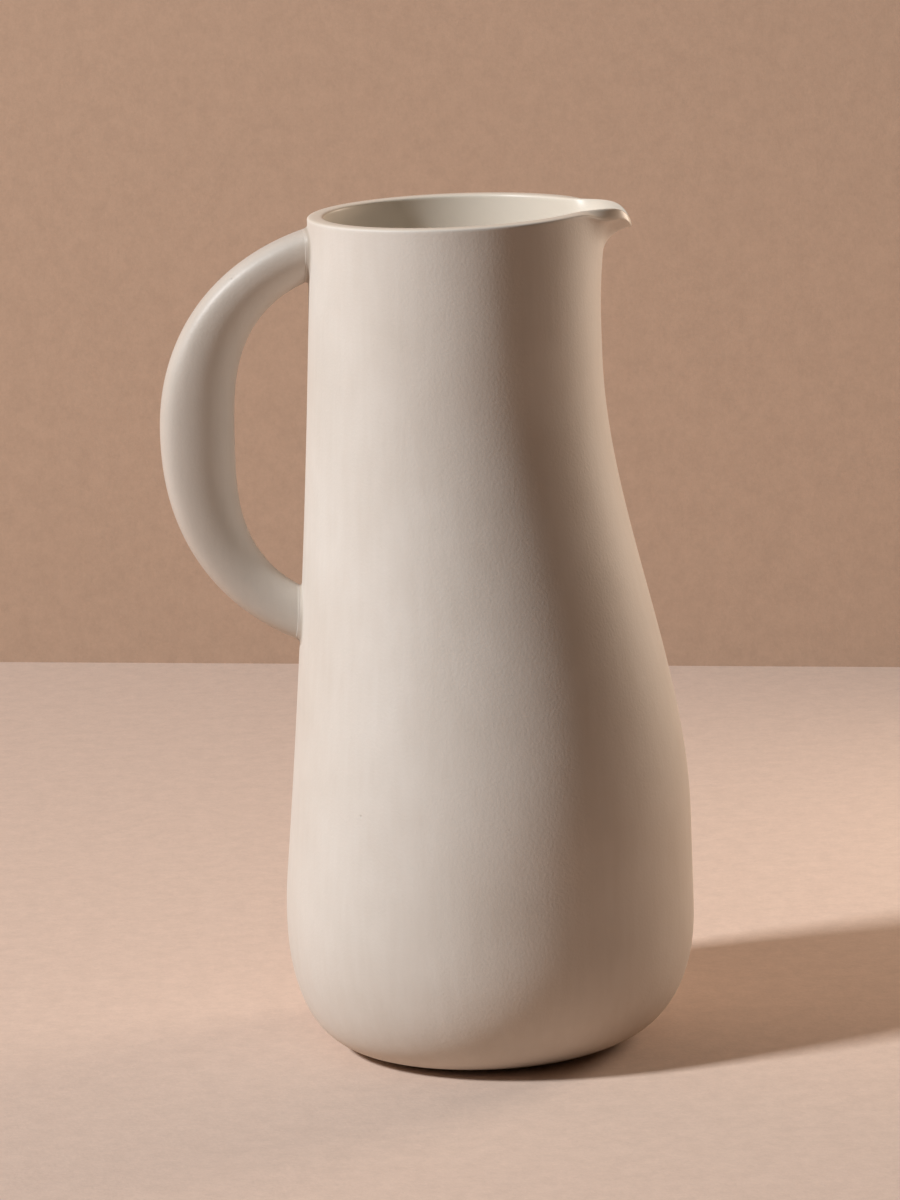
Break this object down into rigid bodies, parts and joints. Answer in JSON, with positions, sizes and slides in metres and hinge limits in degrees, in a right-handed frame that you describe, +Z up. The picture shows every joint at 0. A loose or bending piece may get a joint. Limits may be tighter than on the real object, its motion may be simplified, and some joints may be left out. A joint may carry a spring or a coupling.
{
  "type": "jug",
  "caption": "Tall off-white stoneware jug with a thick loop handle on one side and a small pulled pouring lip on the other.",
  "frame": {"origin": "centre of the foot ring, on the surface that the jug stands on", "axes": "+Z up, +X from the handle towards the pouring lip, +Y across the jug"},
  "size_m": [0.1573, 0.126, 0.258],
  "materials": {
    "glaze": "warm off-white matt glaze, satin inside",
    "handle_glaze": "the same glaze, slightly greyer, with a soft satin touch",
    "bare_clay": "unglazed fired stoneware, dry and slightly rough"
  },
  "bodies": {
    "root": {"body": "glaze", "foot_ring": "bare_clay", "handle": "handle_glaze", "upper_luting": "handle_glaze", "lower_luting": "handle_glaze"}
  },
  "joints": []
}
